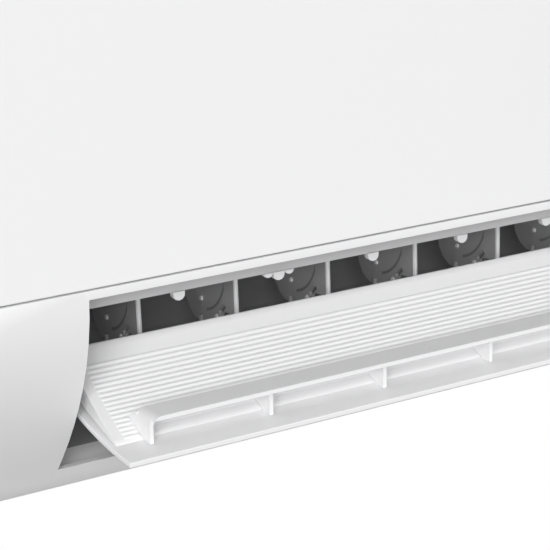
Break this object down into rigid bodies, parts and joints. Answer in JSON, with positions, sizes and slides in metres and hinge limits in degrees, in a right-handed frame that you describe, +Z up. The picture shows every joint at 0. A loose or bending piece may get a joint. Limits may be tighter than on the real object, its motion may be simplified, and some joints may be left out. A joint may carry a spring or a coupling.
{
  "type": "mini split indoor unit",
  "caption": "Wall-hung indoor unit of a mini split air conditioner, with a smooth front panel, upright grey vanes and an open ribbed flap with a raised fin.",
  "frame": {"origin": "middle of the wall plate's back face", "axes": "+X along the unit towards the control box end, +Y into the wall, +Z up"},
  "size_m": [0.8, 0.2217, 0.29],
  "materials": {
    "white_plastic": "fine satin",
    "vane_grey": "matt",
    "frame_grey": "matt",
    "black_plastic": "matt",
    "rubber": "matt",
    "zinc": "zinc plated",
    "aluminium": "thin fins",
    "copper": "drawn copper",
    "brass": "machined",
    "board_green": "lacquered board"
  },
  "bodies": {
    "housing": {"front_casing": "white_plastic", "outlet_frame": "frame_grey", "chassis": "white_plastic", "wall_plate": "zinc", "fan_bearing": "rubber", "fan_motor": "zinc", "motor_clamp": "zinc", "flap_motor": "zinc", "vane_motor": "zinc", "coil_front": "aluminium", "coil_top": "aluminium", "coil_rear": "aluminium", "coil_bracket_left": "zinc", "coil_bracket_right": "zinc", "gas_pipe": "copper", "liquid_pipe": "copper", "gas_flare_nut": "brass", "liquid_flare_nut": "brass", "control_box": "white_plastic", "control_box_lid": "zinc", "circuit_board": "board_green", "terminal_block": "black_plastic", "display_board": "board_green", "air_sensor": "black_plastic"},
    "panel": {"front_panel": "white_plastic"},
    "flap": {"flap_skin": "white_plastic", "flap_guide": "white_plastic", "flap_fin": "white_plastic"},
    "vane_01": {"vane_01": "vane_grey"},
    "vane_02": {"vane_02": "vane_grey"},
    "vane_03": {"vane_03": "vane_grey"},
    "vane_04": {"vane_04": "vane_grey"},
    "vane_05": {"vane_05": "vane_grey"},
    "vane_06": {"vane_06": "vane_grey"},
    "vane_07": {"vane_07": "vane_grey"},
    "vane_08": {"vane_08": "vane_grey"},
    "vane_09": {"vane_09": "vane_grey"},
    "vane_10": {"vane_10": "vane_grey"},
    "vane_11": {"vane_11": "vane_grey"},
    "vane_12": {"vane_12": "vane_grey"},
    "vane_13": {"vane_13": "vane_grey"},
    "vane_link": {"vane_link_rod": "white_plastic"},
    "fan": {"fan_rotor": "black_plastic"},
    "button": {"emergency_button": "white_plastic"},
    "filter_left": {"filter_left": "black_plastic"},
    "filter_right": {"filter_right": "black_plastic"}
  },
  "joints": [
    {"name": "flap_swing", "type": "hinge", "parent": "housing", "child": "flap", "pos_m": [0, -0.167, -0.0876], "axis": [1, 0, 0], "range_deg": [-74.5, 0]},
    {"name": "panel_hinge", "type": "hinge", "parent": "housing", "child": "panel", "pos_m": [0, -0.187, 0.136], "axis": [-1, 0, 0], "range_deg": [0, 60]},
    {"name": "fan_spin", "type": "hinge", "parent": "housing", "child": "fan", "pos_m": [0, -0.072, 0.001], "axis": [1, 0, 0], "continuous": true},
    {"name": "vane_13_swing", "type": "hinge", "parent": "housing", "child": "vane_13", "pos_m": [0.3, -0.118, -0.06], "axis": [0, 0, 1], "range_deg": [-30, 30]},
    {"name": "vane_01_swing", "type": "hinge", "parent": "housing", "child": "vane_01", "pos_m": [-0.3, -0.118, -0.06], "axis": [0, 0, 1], "range_deg": [-30, 30]},
    {"name": "vane_02_swing", "type": "hinge", "parent": "housing", "child": "vane_02", "pos_m": [-0.25, -0.118, -0.06], "axis": [0, 0, 1], "range_deg": [-30, 30]},
    {"name": "vane_03_swing", "type": "hinge", "parent": "housing", "child": "vane_03", "pos_m": [-0.2, -0.118, -0.06], "axis": [0, 0, 1], "range_deg": [-30, 30]},
    {"name": "vane_04_swing", "type": "hinge", "parent": "housing", "child": "vane_04", "pos_m": [-0.15, -0.118, -0.06], "axis": [0, 0, 1], "range_deg": [-30, 30]},
    {"name": "vane_05_swing", "type": "hinge", "parent": "housing", "child": "vane_05", "pos_m": [-0.1, -0.118, -0.06], "axis": [0, 0, 1], "range_deg": [-30, 30]},
    {"name": "vane_06_swing", "type": "hinge", "parent": "housing", "child": "vane_06", "pos_m": [-0.05, -0.118, -0.06], "axis": [0, 0, 1], "range_deg": [-30, 30]},
    {"name": "vane_07_swing", "type": "hinge", "parent": "housing", "child": "vane_07", "pos_m": [0, -0.118, -0.06], "axis": [0, 0, 1], "range_deg": [-30, 30]},
    {"name": "vane_08_swing", "type": "hinge", "parent": "housing", "child": "vane_08", "pos_m": [0.05, -0.118, -0.06], "axis": [0, 0, 1], "range_deg": [-30, 30]},
    {"name": "vane_09_swing", "type": "hinge", "parent": "housing", "child": "vane_09", "pos_m": [0.1, -0.118, -0.06], "axis": [0, 0, 1], "range_deg": [-30, 30]},
    {"name": "vane_10_swing", "type": "hinge", "parent": "housing", "child": "vane_10", "pos_m": [0.15, -0.118, -0.06], "axis": [0, 0, 1], "range_deg": [-30, 30]},
    {"name": "vane_11_swing", "type": "hinge", "parent": "housing", "child": "vane_11", "pos_m": [0.2, -0.118, -0.06], "axis": [0, 0, 1], "range_deg": [-30, 30]},
    {"name": "vane_12_swing", "type": "hinge", "parent": "housing", "child": "vane_12", "pos_m": [0.25, -0.118, -0.06], "axis": [0, 0, 1], "range_deg": [-30, 30]},
    {"name": "vane_link_pivot", "type": "hinge", "parent": "vane_13", "child": "vane_link", "pos_m": [0.3, -0.102, -0.093], "axis": [0, 0, 1], "range_deg": [-30, 30]},
    {"name": "button_press", "type": "slide", "parent": "housing", "child": "button", "axis": [0, 1, 0], "range_m": [0, 0.002], "stiffness_N_per_m": 600, "springref_m": -0.001},
    {"name": "filter_left_lift", "type": "slide", "parent": "housing", "child": "filter_left", "axis": [0, 0, 1], "range_m": [0, 0.06]},
    {"name": "filter_right_lift", "type": "slide", "parent": "housing", "child": "filter_right", "axis": [0, 0, 1], "range_m": [0, 0.06]}
  ],
  "couplings": [
    {"joint": "vane_01_swing", "follows": "vane_13_swing", "ratio": 1},
    {"joint": "vane_02_swing", "follows": "vane_13_swing", "ratio": 1},
    {"joint": "vane_03_swing", "follows": "vane_13_swing", "ratio": 1},
    {"joint": "vane_04_swing", "follows": "vane_13_swing", "ratio": 1},
    {"joint": "vane_05_swing", "follows": "vane_13_swing", "ratio": 1},
    {"joint": "vane_06_swing", "follows": "vane_13_swing", "ratio": 1},
    {"joint": "vane_07_swing", "follows": "vane_13_swing", "ratio": 1},
    {"joint": "vane_08_swing", "follows": "vane_13_swing", "ratio": 1},
    {"joint": "vane_09_swing", "follows": "vane_13_swing", "ratio": 1},
    {"joint": "vane_10_swing", "follows": "vane_13_swing", "ratio": 1},
    {"joint": "vane_11_swing", "follows": "vane_13_swing", "ratio": 1},
    {"joint": "vane_12_swing", "follows": "vane_13_swing", "ratio": 1},
    {"joint": "vane_link_pivot", "follows": "vane_13_swing", "ratio": -1}
  ]
}
